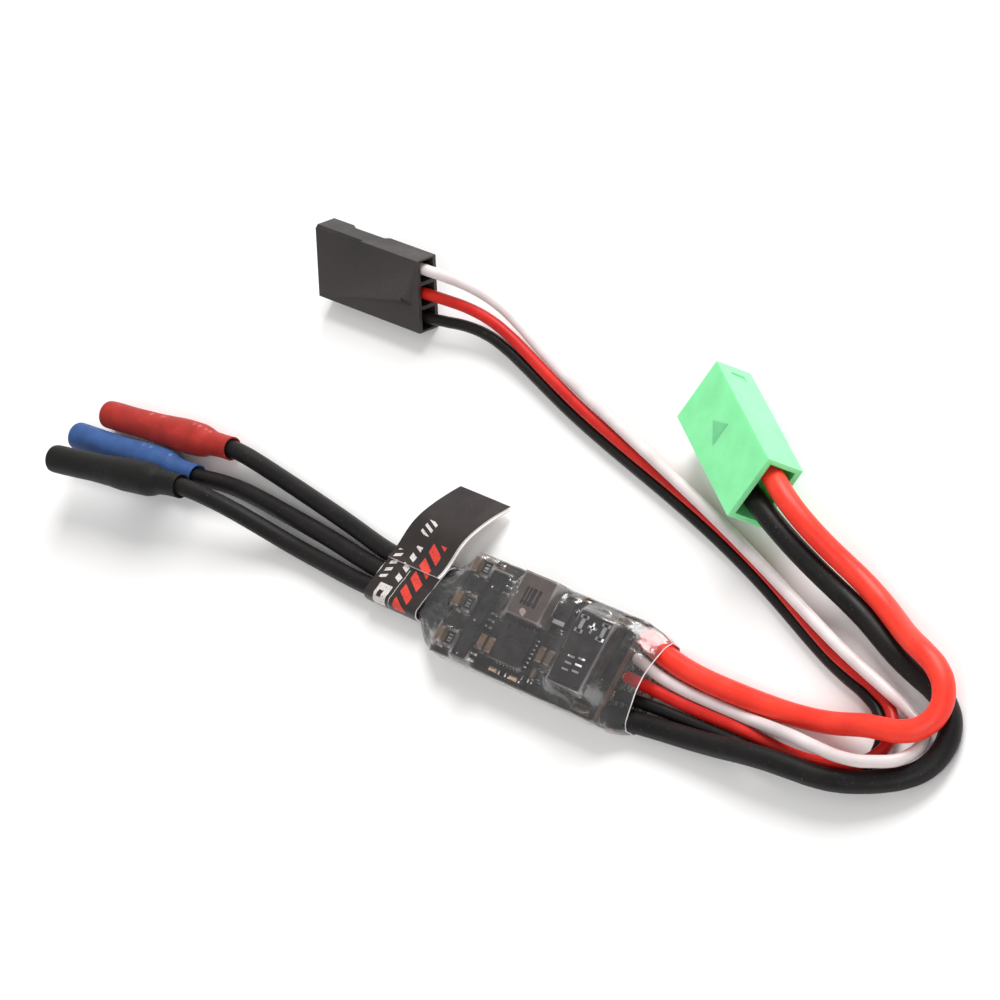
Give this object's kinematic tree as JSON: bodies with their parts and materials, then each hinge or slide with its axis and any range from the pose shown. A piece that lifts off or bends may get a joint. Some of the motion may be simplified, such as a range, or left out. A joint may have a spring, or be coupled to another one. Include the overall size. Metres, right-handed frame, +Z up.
{
  "type": "brushless motor speed controller",
  "caption": "Small brushless motor speed controller in a clear shrink sleeve, with bullet-ended motor leads, a battery plug on silicone leads and a servo plug on a ribbon.",
  "frame": {"origin": "middle of the circuit board's footprint, on the sleeve's flat underside", "axes": "+X along the board from the motor leads to the supply leads, +Z up out of the component side, +Y to the left of +X"},
  "size_m": [0.1158, 0.0356, 0.0084],
  "materials": {
    "clear_film": "clear crinkled shrink film",
    "label_print": null,
    "board_laminate": "dark solder mask over brown laminate",
    "ceramic_chip": "tan ceramic with plated ends",
    "resistor_chip": "black top on white ceramic, plated ends",
    "chip_black": "moulded package with plated pins",
    "ferrite": "warm grey sintered ferrite",
    "tantalum_case": "dark moulded case with a silver bar",
    "solder": "satin tin",
    "silicone_black": "soft black silicone",
    "silicone_red": "soft red silicone",
    "gold_plate": "gold-plated brass",
    "shrink_red": "matte red shrink tube",
    "shrink_blue": "matte blue shrink tube",
    "shrink_black": "matte black shrink tube",
    "wire_white": "warm white vinyl",
    "wire_red": "red vinyl",
    "wire_black": "black vinyl",
    "plug_green": "slightly translucent mint green moulding",
    "plug_black": "black moulding",
    "terminal_metal": "tin-plated crimp"
  },
  "bodies": {
    "root": {"shrink_sleeve": "clear_film", "flag_label": "label_print", "circuit_board": "board_laminate", "phase_capacitors": "ceramic_chip", "phase_resistors": "resistor_chip", "gate_drivers": "chip_black", "microcontroller": "chip_black", "power_inductor": "ferrite", "bulk_capacitor": "tantalum_case", "rectifier_diode": "chip_black", "decoupling_capacitors": "ceramic_chip", "small_passives": "ceramic_chip", "power_transistors": "chip_black", "motor_solder_joints": "solder", "supply_solder_joints": "solder", "signal_solder_joints": "solder", "motor_lead_a": "silicone_black", "motor_lead_b": "silicone_black", "motor_lead_c": "silicone_black", "bullet_socket_a": "gold_plate", "bullet_socket_b": "gold_plate", "bullet_socket_c": "gold_plate", "bullet_sleeve_a": "shrink_red", "bullet_sleeve_b": "shrink_blue", "bullet_sleeve_c": "shrink_black", "battery_lead_positive": "silicone_red", "battery_lead_negative": "silicone_black", "battery_plug_housing": "plug_green", "battery_plug_contacts": "gold_plate", "servo_lead_signal": "wire_white", "servo_lead_positive": "wire_red", "servo_lead_negative": "wire_black", "servo_plug_housing": "plug_black", "servo_plug_terminals": "terminal_metal"}
  },
  "joints": []
}
